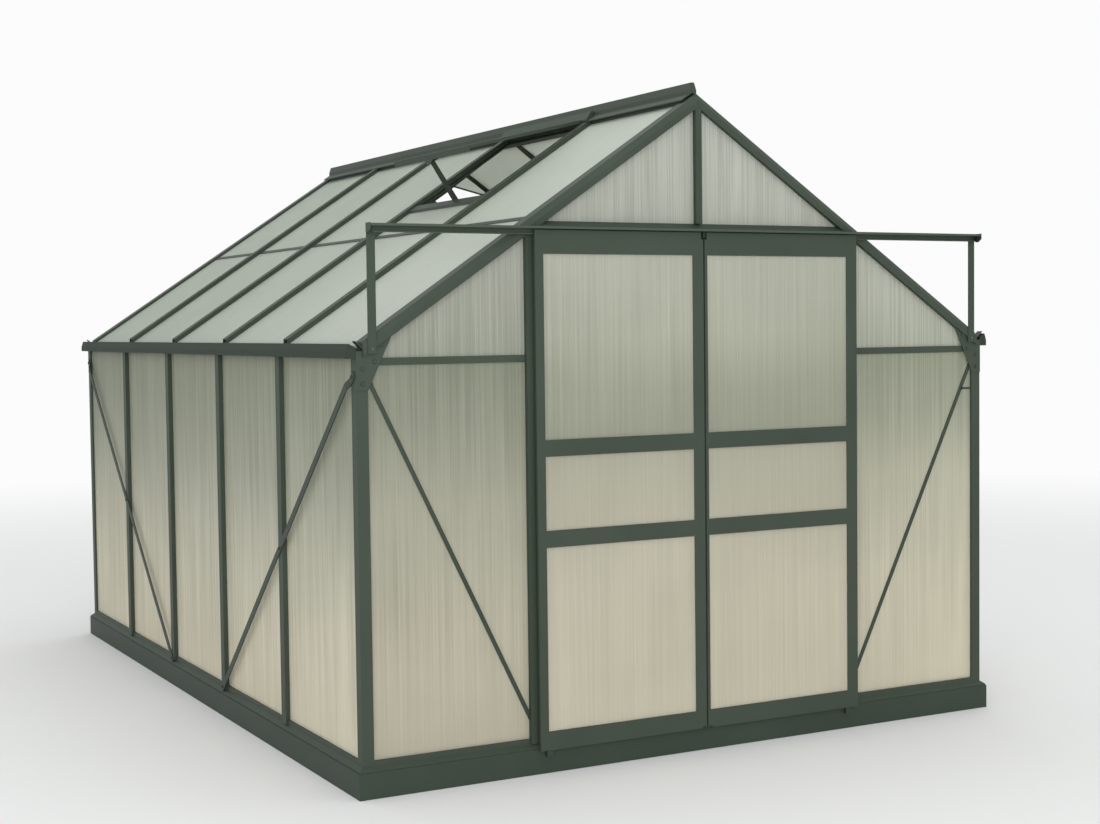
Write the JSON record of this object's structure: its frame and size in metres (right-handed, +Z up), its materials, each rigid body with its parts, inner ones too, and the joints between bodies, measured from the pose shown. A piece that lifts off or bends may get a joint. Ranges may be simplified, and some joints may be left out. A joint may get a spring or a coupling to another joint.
{
  "type": "polycarbonate greenhouse",
  "caption": "Free-standing gabled greenhouse with a dark grey-green metal frame, translucent fluted sheets, open roof vents and twin sliding doors.",
  "frame": {"origin": "centre of the bounding box at the underside of the base rails", "axes": "+X to the right when facing the doors, +Y from the door gable to the rear gable, +Z up"},
  "size_m": [2.562, 3.481, 2.2729],
  "materials": {
    "frame_paint": "satin",
    "base_paint": "satin",
    "brace_paint": "satin",
    "polycarbonate": "frosted",
    "black_plastic": "matte"
  },
  "bodies": {
    "frame": {"base_side_rails": "base_paint", "base_cross_rails": "base_paint", "sill_side_rails": "frame_paint", "sill_cross_rails": "frame_paint", "corner_posts": "frame_paint", "eave_gutters": "frame_paint", "ridge": "frame_paint", "side_wall_bars": "frame_paint", "roof_bars": "frame_paint", "verge_rafters": "frame_paint", "door_jambs": "frame_paint", "rear_wall_bars": "frame_paint", "door_head": "frame_paint", "front_gable_bar": "frame_paint", "front_mid_rails": "frame_paint", "rear_mid_rails": "frame_paint", "door_track": "frame_paint", "track_posts": "frame_paint", "track_stops": "black_plastic", "gusset_plates": "frame_paint", "gable_braces": "brace_paint", "side_braces": "brace_paint", "roof_strips": "frame_paint", "vent_curbs": "frame_paint", "vent_hinges": "frame_paint", "vent_sashes": "frame_paint", "vent_panes": "polycarbonate", "vent_stays": "brace_paint", "side_wall_sheets": "polycarbonate", "roof_sheets": "polycarbonate", "front_sheets": "polycarbonate", "rear_sheets": "polycarbonate", "door_guides": "black_plastic"},
    "left_door": {"left_door_frame": "frame_paint", "left_door_panes": "polycarbonate", "left_door_rollers": "black_plastic"},
    "right_door": {"right_door_frame": "frame_paint", "right_door_panes": "polycarbonate", "right_door_rollers": "black_plastic"}
  },
  "joints": [
    {"name": "left_door_slide", "type": "slide", "parent": "frame", "child": "left_door", "axis": [-1, 0, 0], "range_m": [0, 0.55]},
    {"name": "right_door_slide", "type": "slide", "parent": "frame", "child": "right_door", "axis": [1, 0, 0], "range_m": [0, 0.55]}
  ]
}
